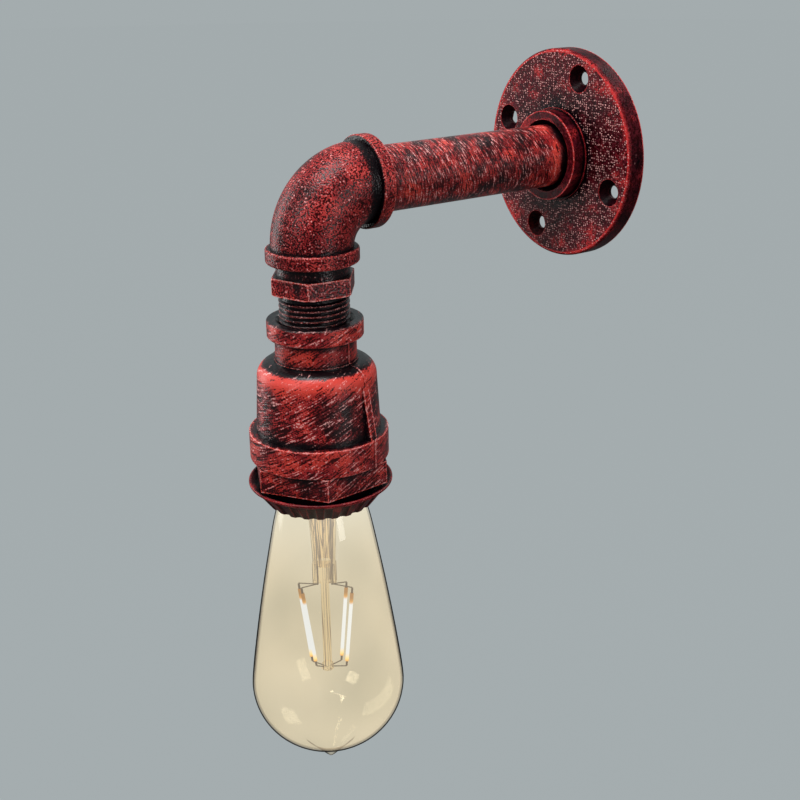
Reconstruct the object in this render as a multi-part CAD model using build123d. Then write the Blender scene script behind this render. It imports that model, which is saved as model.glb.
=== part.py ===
from build123d import *
from math import sqrt
import os

# Industrial pipe wall light: a round wall flange carries a horizontal pipe, an elbow turns it down, and a
# hexagon nipple holds a bell-shaped casing with the lampholder, its shade ring and a pear-shaped lamp.
# Millimetres. Origin: centre of the flange on the wall plane. +Z up, +Y into the wall, the arm runs along -Y.

# ---------------------------------------------------------------- driving dimensions
# arm and elbow
arm_reach = 135.95            # wall plane to the vertical axis of the lamp
pipe_radius = 13.42           # outside of a 3/4 inch pipe
pipe_wall = 2.6
joint_clearance = 0.05        # radial play where a pipe end or screw sits in its hole
socket_depth = 12.0           # how far a pipe end goes into a fitting
elbow_reach = 28.45           # elbow mouth to the crossing of its axes
elbow_body_radius = 16.7
elbow_band_radius = 18.87
elbow_band_width = 5.75
elbow_band_round = 0.9
elbow_bore_radius = 11.3

# wall flange
flange_radius = 45.3
flange_thickness = 8.1
flange_edge_round = 1.2
flange_web = 4.5              # plate thickness in front of the hollow back
flange_rim_width = 3.8        # solid rim that touches the wall
hub_step_radius = 20.4
hub_step_height = 1.55
hub_radius = 19.4
hub_height = 7.55             # hub face in front of the plate's face
hub_mouth_chamfer = 2.2
hub_lip = 1.6                 # lip behind the pipe end
wall_hole_count = 4
wall_hole_radius = 2.8
wall_hole_circle = 35.55      # radius of the circle that the screw holes lie on
wall_hole_turn = 20.1         # first hole, degrees from the top towards +X
countersink_radius = 5.9
countersink_depth = 3.1

# hexagon nipple
nipple_neck_radius = 14.9
nipple_neck_length = 5.0
hexagon_height = 7.2
hexagon_corner_radius = 18.1
hexagon_turn = -37.8          # direction of one corner, degrees from +X
hexagon_chamfer = 1.0
nipple_bore_radius = 10.6
nipple_thread_radius = 14.4
nipple_thread_depth = 0.85
nipple_thread_pitch = 2.15
nipple_thread_root_width = 1.9
nipple_thread_crest_width = 0.45
nipple_thread_shown = 11.4    # thread between the hexagon and the casing

# lampholder casing
collar_radius = 19.74
collar_height = 7.0
collar_round = 0.6
collar_mouth_chamfer = 1.7
casing_neck_radius = 16.7
casing_neck_length = 10.4
neck_foot_radius = 17.3
neck_foot_height = 0.9
shoulder_drop = 0.6
shoulder_radius = 24.3
shoulder_round = 6.4
bell_height = 29.3
bell_foot_radius = 25.9
band_radius = 29.1
band_height = 11.8
band_round = 0.5
skirt_corner_radius = 30.2
skirt_height = 9.7
skirt_turn = -25.5            # direction of one corner of the hexagonal skirt, degrees from +X
casing_bore_radius = 11.5
casing_cavity_radius = 22.0
casing_roof = 3.2
rib_turn = 20.0               # direction of the first gusset, degrees from +X
rib_count = 2
rib_thickness = 3.6
rib_top_drop = 4.0            # top of a gusset under the shoulder
rib_inset = 0.35              # foot of a gusset inside the band's face
seam_width = 0.7
seam_proud = 0.22

# shade ring
ring_seat_gap = 0.3           # the ring is screwed home to this gap under the skirt
ring_seat_radius = 24.3
ring_rim_radius = 30.4
ring_rim_drop = 1.2           # rim top below the skirt's lower face
ring_rim_height = 1.3
ring_rim_width = 0.9
ring_dish_depth = 3.0
ring_height = 11.0            # skirt's lower face to the ring's lower edge
ring_skirt_radius = 29.2
ring_foot_radius = 22.8
ring_mouth_radius = 20.2
ring_bore_gap = 0.1           # ring bore over the thread crests of the holder skirt
flute_count = 24
flute_radius = 2.6
flute_depth = 0.85
flute_start = 1.2             # flutes begin this far below the rim

# plate, tube and nut that hold the lampholder in the casing
plate_radius = 21.6
plate_thickness = 1.6
plate_screw_count = 2
plate_screw_radius = 1.5
plate_screw_circle = 17.6
plate_screw_grip = 2.4
plate_screw_head_radius = 2.7
plate_screw_head = 1.8
driver_slot_width = 0.6
driver_slot_depth = 0.5
entry_radius = 5.0
entry_wall = 1.0
entry_above_nut = 1.2
nut_flats = 14.0
nut_thickness = 3.0
tag_radius = 7.6
tag_thickness = 0.8
tag_width = 4.0
barrel_offset = 9.3
barrel_radius = 1.75
barrel_height = 5.4

# three-part lampholder
cap_roof = 3.4
cap_top_wall = 1.4
cap_boss_radius = 8.5
cap_radius = 19.2
cap_wall = 1.9
cap_shoulder = 3.0
cap_ledge = 1.7               # ledge that the insert is pressed against
terminal_chamber = 5.0        # from the cap's roof to the insert
insert_thickness = 6.0
holder_gap = 0.1              # play of the insert and of the skirt's spigot in the cap
spigot_height = 2.0
holder_radius = 18.6
holder_past_cap = 10.15       # the mouth is this far past the foot of the lamp's cap
holder_bore_gap = 0.4
mouth_radius = 18.0
mouth_depth = 9.5
ring_thread_radius = 19.3
ring_thread_pitch = 2.5
ring_thread_length = 12.0
ring_thread_root_width = 1.9
ring_thread_crest_width = 0.7
thread_end = 0.3              # plain stretch at the end of a thread

# 27 mm screw: the lamp's cap and the shell that takes it
screw_pitch = 3.62
screw_core_radius = 12.1
screw_crest_radius = 13.1
screw_clearance = 0.25
screw_crest_width = 0.7
screw_root_width = 2.4
shell_wall = 0.5
shell_length = 22.6
shell_flange = 3.6
shell_turns = 4

# contacts
contact_thickness = 0.6
contact_width = 5.0
contact_slot_gap = 0.1
tongue_drop = 1.1             # centre tongue below the insert
tongue_past_centre = 3.0
terminal_offset = 10.6
terminal_size = 4.2
terminal_screw_radius = 1.3
terminal_screw_depth = 2.4
terminal_screw_head_radius = 1.9
terminal_screw_head = 0.7

# flexible cable
core_radius = 1.05
core_spread = 1.1             # live and neutral, sideways from the cable's axis
core_inset = 0.7              # live and neutral, towards the inside of the bend
earth_offset = 1.25           # earth, towards the outside of the bend
core_bend_radius = 2.2
sheath_radius = 3.2
sheath_bore_radius = 2.4
sheath_from_wall = 16.0
sheath_end = 58.0             # below the arm's axis
earth_split = 2.2             # earth core leaves the others this far below the sheath
earth_slant = 4.0
ferrule_from_wall = 0.8
ferrule_pin_length = 6.0
ferrule_pin_radius = 0.7
ferrule_collar_length = 2.5

# lamp cap
button_radius = 4.7
button_height = 1.4
button_round = 0.8
insulator_top_radius = 5.2
insulator_height = 3.2
insulator_edge = 0.5
lamp_cap_length = 25.0        # top of the button to the lower edge of the cap
cap_metal = 0.5
cap_edge_radius = 13.0
cap_edge_height = 2.5
cement_height = 5.0

# lamp glass, heights measured down from the top of the button
glass_wall = 0.8
glass_neck_radius = 10.9
glass_neck_top = 18.5
glass_neck_foot = 23.2
glass_flare = (13.5, 29.3)
glass_mouth = (15.7, 35.2)
glass_throat = (19.6, 46.6)
glass_taper_top = (22.6, 59.7)
glass_taper_foot = (30.6, 104.7)
glass_belly_radius = 34.2
glass_belly_drop = 132.5
glass_belly_fullness = 0.4    # how far the belly's upright run reaches up the side
glass_bottom_depth = 31.6     # from the belly down to the glass's lowest point
glass_tip_radius = 12.0       # where the sealed-off tip leaves the bottom
glass_tip_length = 12.0
glass_tip_round = 2.4

# inside the lamp
board_drop = 14.0
board_thickness = 1.2
capacitor_radius = 3.2
capacitor_height = 6.0
capacitor_offset = 5.0
stem_wall = 0.9
stem_foot_height = 1.6
stem_shoulder = (6.6, 31.7)
stem_waist = (5.9, 53.0)
stem_pinch_drop = 73.5
stem_pinch_radius = 4.9
stem_pinch_width = 10.4
stem_pinch_thickness = 3.2
stem_pinch_height = 9.5
rod_radius = 1.9
rod_past_filaments = 3.0      # the rod ends this far under the filaments' feet
rod_button_radius = 2.7
rod_button_height = 2.2
filament_turn = 55.2          # direction that the filaments are spread in, degrees from +X
filament_below_pinch = 4.5    # the filaments' tops, under the pinch
filament_length = 34.5        # measured along the lamp's axis
filament_radius = 0.8
filament_tops = ((11.9, -2.6), (9.2, 2.4), (-9.8, -2.4), (-11.4, 1.8))
filament_feet = ((8.8, -2.4), (6.3, 2.2), (-5.3, -2.2), (-7.3, 1.6))
tab_length = 2.6
tab_width = 0.9
tab_thickness = 0.35
wire_radius = 0.25
wire_spread = 3.2             # feed wires, sideways from the lamp's axis
wire_out_drop = 1.2           # feed wires turn out this far under the pinch
weld_radius = 0.45

# ---------------------------------------------------------------- places that follow from them
elbow_bend_radius = elbow_reach - elbow_band_width
fitting_bore_radius = pipe_radius + joint_clearance
hexagon_top = -elbow_reach - nipple_neck_length
hexagon_foot = hexagon_top - hexagon_height
collar_top = hexagon_foot - nipple_thread_shown
collar_foot = collar_top - collar_height
nipple_foot = collar_top - socket_depth
neck_foot = collar_foot - casing_neck_length
shoulder_edge = neck_foot - shoulder_drop
bell_foot = shoulder_edge - bell_height
band_foot = bell_foot - band_height
skirt_foot = band_foot - skirt_height
roof_inside = neck_foot - casing_roof

back_plate = flange_thickness - flange_web
hub_face = flange_thickness + hub_height
pipe_start = back_plate + hub_lip
pipe_end = arm_reach - elbow_reach + socket_depth

plate_foot = roof_inside - plate_thickness
cap_ceiling = plate_foot - cap_roof
cap_top = cap_ceiling + cap_top_wall
insert_top = cap_ceiling - terminal_chamber
insert_foot = insert_top - insert_thickness
cap_bore_radius = cap_radius - cap_wall
insert_radius = cap_bore_radius - holder_gap
cap_foot = insert_foot - spigot_height
tag_top = roof_inside + tag_thickness
nut_top = tag_top + nut_thickness
entry_top = nut_top + entry_above_nut

shell_root_radius = screw_crest_radius + screw_clearance
shell_crest_radius = screw_core_radius + screw_clearance
shell_outer_radius = shell_root_radius + shell_wall
holder_bore_radius = shell_outer_radius + holder_bore_gap
ring_bore_radius = ring_thread_radius + ring_bore_gap

lamp_top = insert_foot - tongue_drop - contact_thickness
insulator_top = lamp_top - button_height
insulator_foot = insulator_top - insulator_height
lamp_cap_foot = lamp_top - lamp_cap_length
holder_foot = lamp_cap_foot - holder_past_cap
lamp_thread_foot = lamp_cap_foot + cap_edge_height + cap_metal
board_top = lamp_top - board_drop
board_foot = board_top - board_thickness
glass_neck_end = lamp_top - glass_neck_top
pinch_top = lamp_top - stem_pinch_drop
pinch_foot = pinch_top - stem_pinch_height
filament_top_height = pinch_foot - filament_below_pinch
filament_foot_height = filament_top_height - filament_length
rod_foot = filament_foot_height - rod_past_filaments

# ---------------------------------------------------------------- helpers
ARM = Plane(origin=(0, 0, 0), x_dir=(1, 0, 0), z_dir=(0, -1, 0))    # local +Z leaves the wall along the arm
LAMP = Pos(0, -arm_reach, 0)                                        # the lamp hangs on this vertical axis
FILAMENTS = LAMP * Rot(0, 0, filament_turn)


def turned(*points):
    """A solid of revolution about Z through these (radius, height) points."""
    return revolve(make_face(Plane.XZ * Polyline(*points, close=True)), axis=Axis.Z)


def tube(outer, inner, low, high):
    return turned((inner, low), (outer, low), (outer, high), (inner, high))


def rod(radius, low, high):
    return Pos(0, 0, (low + high) / 2) * Cylinder(radius, high - low)


def around(count, turn, shape):
    """Copies of a shape spread evenly about Z, the first one turned by `turn`."""
    return [Rot(0, 0, turn + i * 360 / count) * shape for i in range(count)]


def hexagon(corner_radius, low, high, turn):
    """A hexagonal prism about Z with a corner in direction `turn`."""
    return Pos(0, 0, low) * extrude(Rot(0, 0, turn) * RegularPolygon(corner_radius, 6), high - low)


def ridge(root_radius, crest_radius, root_width, crest_width, pitch, low, high):
    """A right-hand screw ridge about Z; it stands inwards if its crest is nearer the axis than its root."""
    sink = 0.12 if crest_radius < root_radius else -0.12
    section = Plane.XZ * Polyline(
        (root_radius + sink, -root_width / 2),
        (crest_radius, -crest_width / 2),
        (crest_radius, crest_width / 2),
        (root_radius + sink, root_width / 2),
        close=True,
    )
    path = Helix(pitch=pitch, height=high - low - root_width, radius=root_radius)
    return Pos(0, 0, low + root_width / 2) * sweep(make_face(section), path=path, is_frenet=True)


def wire(radius, points, bends=()):
    """A round wire along straight runs joined by tangent arcs, one radius for each corner."""
    path = FilletPolyline(*points, radius=list(bends)) if bends else Line(*points)
    return sweep(Plane(origin=path @ 0, z_dir=path % 0) * Circle(radius), path=path)


def circles(shape, radius):
    """The round edges of this radius, from low to high."""
    edges = shape.edges().filter_by(GeomType.CIRCLE).filter_by(lambda e: abs(e.radius - radius) < 0.001)
    return edges.sort_by(Axis.Z)


def save(name, *solids):
    shape = solids[0] if len(solids) == 1 else Compound(children=list(solids))
    export_step(shape, f"parts/{name}.step")


# ---------------------------------------------------------------- arm: flange, pipe, elbow, nipple
def wall_flange():
    body = turned(
        (0, back_plate),
        (flange_radius - flange_rim_width, back_plate),
        (flange_radius - flange_rim_width, 0),
        (flange_radius, 0),
        (flange_radius, flange_thickness),
        (hub_step_radius, flange_thickness),
        (hub_step_radius, flange_thickness + hub_step_height),
        (hub_radius, flange_thickness + hub_step_height),
        (hub_radius, hub_face),
        (0, hub_face),
    )
    body = fillet(circles(body, flange_radius)[-1], flange_edge_round)
    body -= turned(
        (0, 0),
        (pipe_radius - pipe_wall, 0),
        (pipe_radius - pipe_wall, pipe_start),
        (fitting_bore_radius, pipe_start),
        (fitting_bore_radius, hub_face - hub_mouth_chamfer),
        (fitting_bore_radius + hub_mouth_chamfer, hub_face),
        (0, hub_face),
    )
    hole = turned(
        (0, 0),
        (wall_hole_radius, 0),
        (wall_hole_radius, flange_thickness - countersink_depth),
        (countersink_radius, flange_thickness),
        (0, flange_thickness),
    )
    for copy in around(wall_hole_count, 90 - wall_hole_turn, Pos(wall_hole_circle, 0, 0) * hole):
        body -= copy
    return ARM * body


def arm_pipe():
    return ARM * tube(pipe_radius, pipe_radius - pipe_wall, pipe_start, pipe_end)


def elbow():
    corner = Axis((0, elbow_bend_radius, -elbow_bend_radius), (-1, 0, 0))
    mouths = [Plane(origin=(0, 0, 0), z_dir=(0, 1, 0)), Plane(origin=(0, 0, 0), z_dir=(0, 0, -1))]

    def bend(radius):
        section = Plane(origin=(0, 0, -elbow_bend_radius), z_dir=(0, 0, 1)) * Circle(radius)
        return revolve(section, axis=corner, revolution_arc=90)

    band = rod(elbow_band_radius, elbow_bend_radius, elbow_reach)
    band = fillet(circles(band, elbow_band_radius), elbow_band_round)
    body = bend(elbow_body_radius)
    bore = bend(elbow_bore_radius)
    for mouth in mouths:
        body += mouth * band
        bore += mouth * rod(fitting_bore_radius, elbow_reach - socket_depth, elbow_reach)
        bore += mouth * rod(elbow_bore_radius, elbow_bend_radius, elbow_reach)
    return LAMP * (body - bore)


def hex_nipple():
    nut = hexagon(hexagon_corner_radius, hexagon_foot, hexagon_top, hexagon_turn)
    nut &= turned(
        (0, hexagon_foot),
        (hexagon_corner_radius - hexagon_chamfer, hexagon_foot),
        (hexagon_corner_radius, hexagon_foot + hexagon_chamfer / 2),
        (hexagon_corner_radius, hexagon_top - hexagon_chamfer / 2),
        (hexagon_corner_radius - hexagon_chamfer, hexagon_top),
        (0, hexagon_top),
    )
    thread_core = nipple_thread_radius - nipple_thread_depth
    body = nut + rod(nipple_neck_radius, hexagon_top, -elbow_reach)
    body += rod(pipe_radius, -elbow_reach, socket_depth - elbow_reach)
    body += rod(thread_core, nipple_foot, hexagon_foot)
    body += ridge(
        thread_core,
        nipple_thread_radius,
        nipple_thread_root_width,
        nipple_thread_crest_width,
        nipple_thread_pitch,
        nipple_foot + thread_end,
        hexagon_foot - thread_end,
    )
    body -= rod(nipple_bore_radius, nipple_foot, socket_depth - elbow_reach)
    return LAMP * body


# ---------------------------------------------------------------- casing and shade ring
def casing_outline(proud=0.0):
    """The bell's outer form from collar to band, grown by `proud`."""
    body = turned(
        (0, collar_top),
        (collar_radius + proud, collar_top),
        (collar_radius + proud, collar_foot),
        (casing_neck_radius + proud, collar_foot),
        (casing_neck_radius + proud, neck_foot + neck_foot_height),
        (neck_foot_radius + proud, neck_foot + neck_foot_height),
        (neck_foot_radius + proud, neck_foot + proud),
        (shoulder_radius + proud, shoulder_edge + proud),
        (bell_foot_radius + proud, bell_foot),
        (band_radius + proud, bell_foot),
        (band_radius + proud, band_foot),
        (0, band_foot),
    )
    return fillet(circles(body, shoulder_radius + proud), shoulder_round)


def holder_casing():
    body = casing_outline()
    body = fillet(circles(body, collar_radius), collar_round)
    body = fillet(circles(body, band_radius), band_round)
    body += hexagon(skirt_corner_radius, skirt_foot, band_foot, skirt_turn)

    rib_top = shoulder_edge - rib_top_drop
    rib = Plane.XZ * make_face(
        Polyline(
            (casing_cavity_radius, rib_top),
            (shoulder_radius, rib_top),
            (band_radius - rib_inset, bell_foot),
            (casing_cavity_radius, bell_foot),
            close=True,
        )
    )
    for copy in around(rib_count, rib_turn, extrude(rib, rib_thickness / 2, both=True)):
        body += copy
    seam_slab = Rot(0, 0, rib_turn) * Box(4 * band_radius, seam_width, 4 * arm_reach)
    seam_zone = tube(2 * band_radius, casing_bore_radius, band_foot, collar_foot)
    body += casing_outline(seam_proud) & seam_slab & seam_zone

    bore = nipple_thread_radius + joint_clearance
    body -= turned(
        (0, skirt_foot),
        (casing_cavity_radius, skirt_foot),
        (casing_cavity_radius, roof_inside),
        (casing_bore_radius, roof_inside),
        (casing_bore_radius, nipple_foot),
        (bore, nipple_foot),
        (bore, collar_top - collar_mouth_chamfer),
        (bore + collar_mouth_chamfer, collar_top),
        (0, collar_top),
    )
    hole = rod(plate_screw_radius, roof_inside, roof_inside + plate_screw_grip)
    for copy in around(plate_screw_count, 0, Pos(plate_screw_circle, 0, 0) * hole):
        body -= copy
    return LAMP * body


def shade_ring():
    rim_top = skirt_foot - ring_rim_drop
    rim_foot = rim_top - ring_rim_height
    foot = skirt_foot - ring_height
    seat = skirt_foot - ring_seat_gap
    body = turned(
        (ring_bore_radius, seat),
        (ring_bore_radius, holder_foot),
        (ring_mouth_radius, foot),
        (ring_foot_radius, foot),
        (ring_skirt_radius, rim_foot),
        (ring_rim_radius, rim_foot),
        (ring_rim_radius, rim_top),
        (ring_rim_radius - ring_rim_width, rim_top),
        (ring_seat_radius, rim_top - ring_dish_depth),
        (ring_seat_radius, seat),
    )
    body = fillet(circles(body, ring_rim_radius), ring_rim_height / 3)
    slope = Vector(ring_foot_radius - ring_skirt_radius, 0, foot - rim_foot)
    down = slope.normalized()
    outwards = Vector(-down.Z, 0, down.X)
    start = Vector(ring_skirt_radius, 0, rim_foot)
    start += down * flute_start + outwards * (flute_radius - flute_depth)
    flute = Plane(origin=start, z_dir=down) * rod(flute_radius, 0, slope.length)
    for copy in around(flute_count, rib_turn, flute):
        body -= copy
    return LAMP * body


# ---------------------------------------------------------------- what hangs the lampholder in the casing
def mounting_plate():
    body = tube(plate_radius, entry_radius + joint_clearance, plate_foot, roof_inside)
    hole = rod(plate_screw_radius + joint_clearance, plate_foot, roof_inside)
    for copy in around(plate_screw_count, 0, Pos(plate_screw_circle, 0, 0) * hole):
        body -= copy
    return LAMP * body


def plate_screws():
    head_foot = plate_foot - plate_screw_head
    screw = rod(plate_screw_radius, plate_foot, roof_inside + plate_screw_grip)
    screw += rod(plate_screw_head_radius, head_foot, plate_foot)
    slot = Box(3 * plate_screw_head_radius, driver_slot_width, 2 * driver_slot_depth)
    screw -= Pos(0, 0, head_foot) * slot
    return [LAMP * copy for copy in around(plate_screw_count, 0, Pos(plate_screw_circle, 0, 0) * screw)]


def entry_tube():
    return LAMP * tube(entry_radius, entry_radius - entry_wall, cap_ceiling, entry_top)


def lock_nut():
    # one flat faces the earth tag's barrel
    body = hexagon(nut_flats / sqrt(3), tag_top, nut_top, 0)
    return LAMP * (body - rod(entry_radius + joint_clearance, tag_top, nut_top))


def earth_tag():
    barrel_top = tag_top + barrel_height
    body = rod(tag_radius, roof_inside, tag_top)
    middle = (roof_inside + tag_top) / 2
    body += Pos(0, -barrel_offset / 2, middle) * Box(tag_width, barrel_offset, tag_thickness)
    body += Pos(0, -barrel_offset, 0) * rod(barrel_radius, roof_inside, barrel_top)
    body -= Pos(0, -barrel_offset, 0) * rod(core_radius + joint_clearance, tag_top, barrel_top)
    return LAMP * (body - rod(entry_radius + joint_clearance, roof_inside, tag_top))


# ---------------------------------------------------------------- lampholder
def holder_cap():
    ledge_radius = cap_bore_radius - cap_ledge
    return LAMP * turned(
        (entry_radius + joint_clearance, plate_foot),
        (cap_boss_radius, plate_foot),
        (cap_boss_radius, cap_top),
        (cap_radius - cap_shoulder, cap_top),
        (cap_radius, cap_top - cap_shoulder),
        (cap_radius, cap_foot),
        (cap_bore_radius, cap_foot),
        (cap_bore_radius, insert_top),
        (ledge_radius, insert_top),
        (ledge_radius, cap_ceiling - cap_ledge),
        (ledge_radius - cap_ledge, cap_ceiling),
        (entry_radius + joint_clearance, cap_ceiling),
    )


def contact_strip(x, low):
    """The upright leg of a contact, from the insert's top down to `low`, with its inner face at x."""
    strip = Box(contact_thickness, contact_width, insert_top - low)
    return Pos(x + contact_thickness / 2, core_inset, (insert_top + low) / 2) * strip


live_leg = terminal_offset - terminal_size / 2
neutral_leg = -terminal_offset - contact_thickness / 2


def holder_insert():
    body = rod(insert_radius, insert_foot, insert_top)
    for x in (live_leg, neutral_leg):
        middle = Pos(x + contact_thickness / 2, core_inset, (insert_top + insert_foot) / 2)
        body -= middle * Box(
            contact_thickness + 2 * contact_slot_gap, contact_width + 2 * contact_slot_gap, insert_thickness
        )
    return LAMP * body


def terminal_block(x):
    middle = Pos(x, core_inset, insert_top + terminal_size / 2)
    block = middle * Box(terminal_size, terminal_size, terminal_size)
    top = insert_top + terminal_size
    return block - Pos(x, core_inset, 0) * rod(terminal_screw_radius, top - terminal_screw_depth, top)


def centre_contact():
    tongue_length = live_leg + contact_thickness + tongue_past_centre
    tongue = Pos(tongue_length / 2 - tongue_past_centre, core_inset, lamp_top + contact_thickness / 2)
    body = terminal_block(terminal_offset) + contact_strip(live_leg, lamp_top)
    return LAMP * (body + tongue * Box(tongue_length, contact_width, contact_thickness))


def shell_contact():
    return LAMP * (terminal_block(-terminal_offset) + contact_strip(neutral_leg, insert_foot))


def terminal_screws():
    top = insert_top + terminal_size
    screw = rod(terminal_screw_radius, top - terminal_screw_depth, top)
    screw += rod(terminal_screw_head_radius, top, top + terminal_screw_head)
    slot = Box(3 * terminal_screw_head_radius, driver_slot_width, driver_slot_depth)
    screw -= Pos(0, 0, top + terminal_screw_head) * slot
    return [LAMP * Pos(x, core_inset, 0) * screw for x in (terminal_offset, -terminal_offset)]


def screw_shell():
    body = tube(shell_outer_radius, shell_root_radius, insert_foot - shell_length, insert_foot)
    body += tube(shell_outer_radius, shell_outer_radius - shell_flange, insert_foot - shell_wall, insert_foot)
    low = lamp_thread_foot + screw_pitch / 2
    body += ridge(
        shell_root_radius,
        shell_crest_radius,
        screw_root_width,
        screw_crest_width,
        screw_pitch,
        low,
        low + shell_turns * screw_pitch,
    )
    return LAMP * body


def holder_skirt():
    body = turned(
        (holder_bore_radius, insert_foot),
        (insert_radius, insert_foot),
        (insert_radius, cap_foot),
        (holder_radius, cap_foot),
        (holder_radius, holder_foot),
        (mouth_radius, holder_foot),
        (holder_bore_radius, holder_foot + mouth_depth),
    )
    body += ridge(
        holder_radius,
        ring_thread_radius,
        ring_thread_root_width,
        ring_thread_crest_width,
        ring_thread_pitch,
        holder_foot + thread_end,
        holder_foot + thread_end + ring_thread_length,
    )
    return LAMP * body


# ---------------------------------------------------------------- cable
def cable_route(x, outwards, from_wall, *beyond):
    """Points of a core that follows the arm `outwards` from its centre line, and the radius of its bend."""
    start = (x, -from_wall, outwards)
    corner = (x, -arm_reach - outwards, outwards)
    return [start, corner, *beyond], elbow_bend_radius + outwards


def flex_sheath():
    points, bend = cable_route(0, 0, sheath_from_wall, (0, -arm_reach, -sheath_end))
    return wire(sheath_radius, points, [bend]) - wire(sheath_bore_radius, points, [bend])


ferrule_length = ferrule_pin_length + ferrule_collar_length
lead_start = ferrule_from_wall + ferrule_length


def supply_lead(side):
    """The live core (side 1) or the neutral core (side -1), from its ferrule to its terminal."""
    x, y, z = side * core_spread, -arm_reach + core_inset, insert_top + terminal_size / 2
    end = side * (terminal_offset - terminal_size / 2)
    points, bend = cable_route(x, -core_inset, lead_start, (x, y, z), (end, y, z))
    return wire(core_radius, points, [bend, core_bend_radius])


def earth_lead():
    split = -sheath_end - earth_split
    far = -arm_reach - barrel_offset
    points, bend = cable_route(
        0,
        earth_offset,
        lead_start,
        (0, -arm_reach - earth_offset, split),
        (0, far, split - earth_slant),
        (0, far, tag_top + barrel_height / 2),
    )
    return wire(core_radius, points, [bend, core_bend_radius, core_bend_radius])


def wire_ferrules():
    ferrule = rod(ferrule_pin_radius, ferrule_from_wall, ferrule_from_wall + ferrule_pin_length)
    ferrule += rod(core_radius, ferrule_from_wall + ferrule_pin_length, lead_start)
    places = ((core_spread, -core_inset), (-core_spread, -core_inset), (0, earth_offset))
    return [Pos(x, 0, z) * (ARM * ferrule) for x, z in places]


# ---------------------------------------------------------------- lamp: cap and glass
def cap_button():
    body = rod(button_radius, insulator_top, lamp_top)
    return LAMP * fillet(circles(body, button_radius)[-1], button_round)


def cap_insulator():
    return LAMP * turned(
        (2 * wire_radius, insulator_foot),
        (screw_core_radius, insulator_foot),
        (screw_core_radius, insulator_foot + insulator_edge),
        (insulator_top_radius, insulator_top),
        (2 * wire_radius, insulator_top),
    )


def lamp_cap():
    inner = screw_core_radius - cap_metal
    body = turned(
        (cap_edge_radius - cap_metal, lamp_cap_foot),
        (cap_edge_radius, lamp_cap_foot),
        (cap_edge_radius, lamp_cap_foot + cap_edge_height),
        (screw_core_radius, lamp_thread_foot),
        (screw_core_radius, insulator_foot),
        (inner, insulator_foot),
        (inner, lamp_thread_foot),
        (cap_edge_radius - cap_metal, lamp_cap_foot + cap_edge_height),
    )
    body += ridge(
        screw_core_radius,
        screw_crest_radius,
        screw_root_width,
        screw_crest_width,
        screw_pitch,
        lamp_thread_foot,
        insulator_foot - thread_end,
    )
    return LAMP * body


def cap_cement():
    foot = lamp_thread_foot
    return LAMP * tube(screw_core_radius - cap_metal, glass_neck_radius, foot, foot + cement_height)


def glass_body(inset):
    """The lamp's pear shape as a full solid, drawn in by `inset` all round."""
    def down(point):
        return (point[0] - inset, lamp_top - point[1])

    neck_foot_point = down((glass_neck_radius, glass_neck_foot))
    belly = down((glass_belly_radius, glass_belly_drop))
    bottom = belly[1] - (glass_bottom_depth - inset)
    neck = Line((0, glass_neck_end), (neck_foot_point[0], glass_neck_end))
    neck_side = Line(neck @ 1, neck_foot_point)
    side = Spline(
        neck_foot_point,
        down(glass_flare),
        down(glass_mouth),
        down(glass_throat),
        down(glass_taper_top),
        down(glass_taper_foot),
        belly,
        tangents=[(0, -1), (0, -1)],
        tangent_scalars=[1, glass_belly_fullness],
    )
    belly_height = belly[1] - bottom
    round_bottom = EllipticalCenterArc((0, belly[1]), belly[0], belly_height, start_angle=270, arc_size=90)
    axis_side = Line((0, bottom), (0, glass_neck_end))
    outline = Curve() + [neck, neck_side, side, round_bottom, axis_side]
    return revolve(make_face(Plane.XZ * outline), axis=Axis.Z)


def bulb_glass():
    centre = lamp_top - glass_belly_drop
    tip_top = centre - glass_bottom_depth * sqrt(1 - (glass_tip_radius / glass_belly_radius) ** 2)
    tip = turned(
        (0, tip_top),
        (glass_tip_radius, tip_top),
        (glass_tip_round, tip_top - glass_tip_length + glass_tip_round / 2),
        (glass_tip_round / 2, tip_top - glass_tip_length),
        (0, tip_top - glass_tip_length),
    )
    outer = glass_body(0)
    return LAMP * (outer + tip - glass_body(glass_wall))


# ---------------------------------------------------------------- lamp: stem, wires and filaments
def filament_axis(i):
    """The two ends of a filament, in the frame whose X lies across the row of filaments."""
    return (*filament_tops[i], filament_top_height), (*filament_feet[i], filament_foot_height)


def beyond(end, other, distance):
    """The point that lies `distance` past `end` on the line from `other`."""
    end, other = Vector(*end), Vector(*other)
    return tuple(end + (end - other).normalized() * distance)


def feed_wire(side):
    """One lead-in wire (side 1 or -1): a riser through the stem, a weld bead and an arm to each filament."""
    joint = (side * wire_spread, 0, pinch_foot - wire_out_drop)
    shape = wire(wire_radius, [(side * wire_spread, 0, board_foot), joint])
    shape += Pos(*joint) * Sphere(weld_radius)
    for i, (x, _) in enumerate(filament_tops):
        if x * side > 0:
            top, foot = filament_axis(i)
            shape += wire(wire_radius, [joint, beyond(top, foot, tab_length + wire_radius)])
    return FILAMENTS * shape


def link_wire(i):
    """The wire from the glass button at the rod's end to the foot tab of one filament."""
    top, foot = filament_axis(i)
    end = beyond(foot, top, tab_length + wire_radius)
    root = Vector(end[0], end[1], 0).normalized() * rod_radius
    return FILAMENTS * wire(wire_radius, [(root.X, root.Y, rod_foot - rod_button_height / 2), end])


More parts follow.
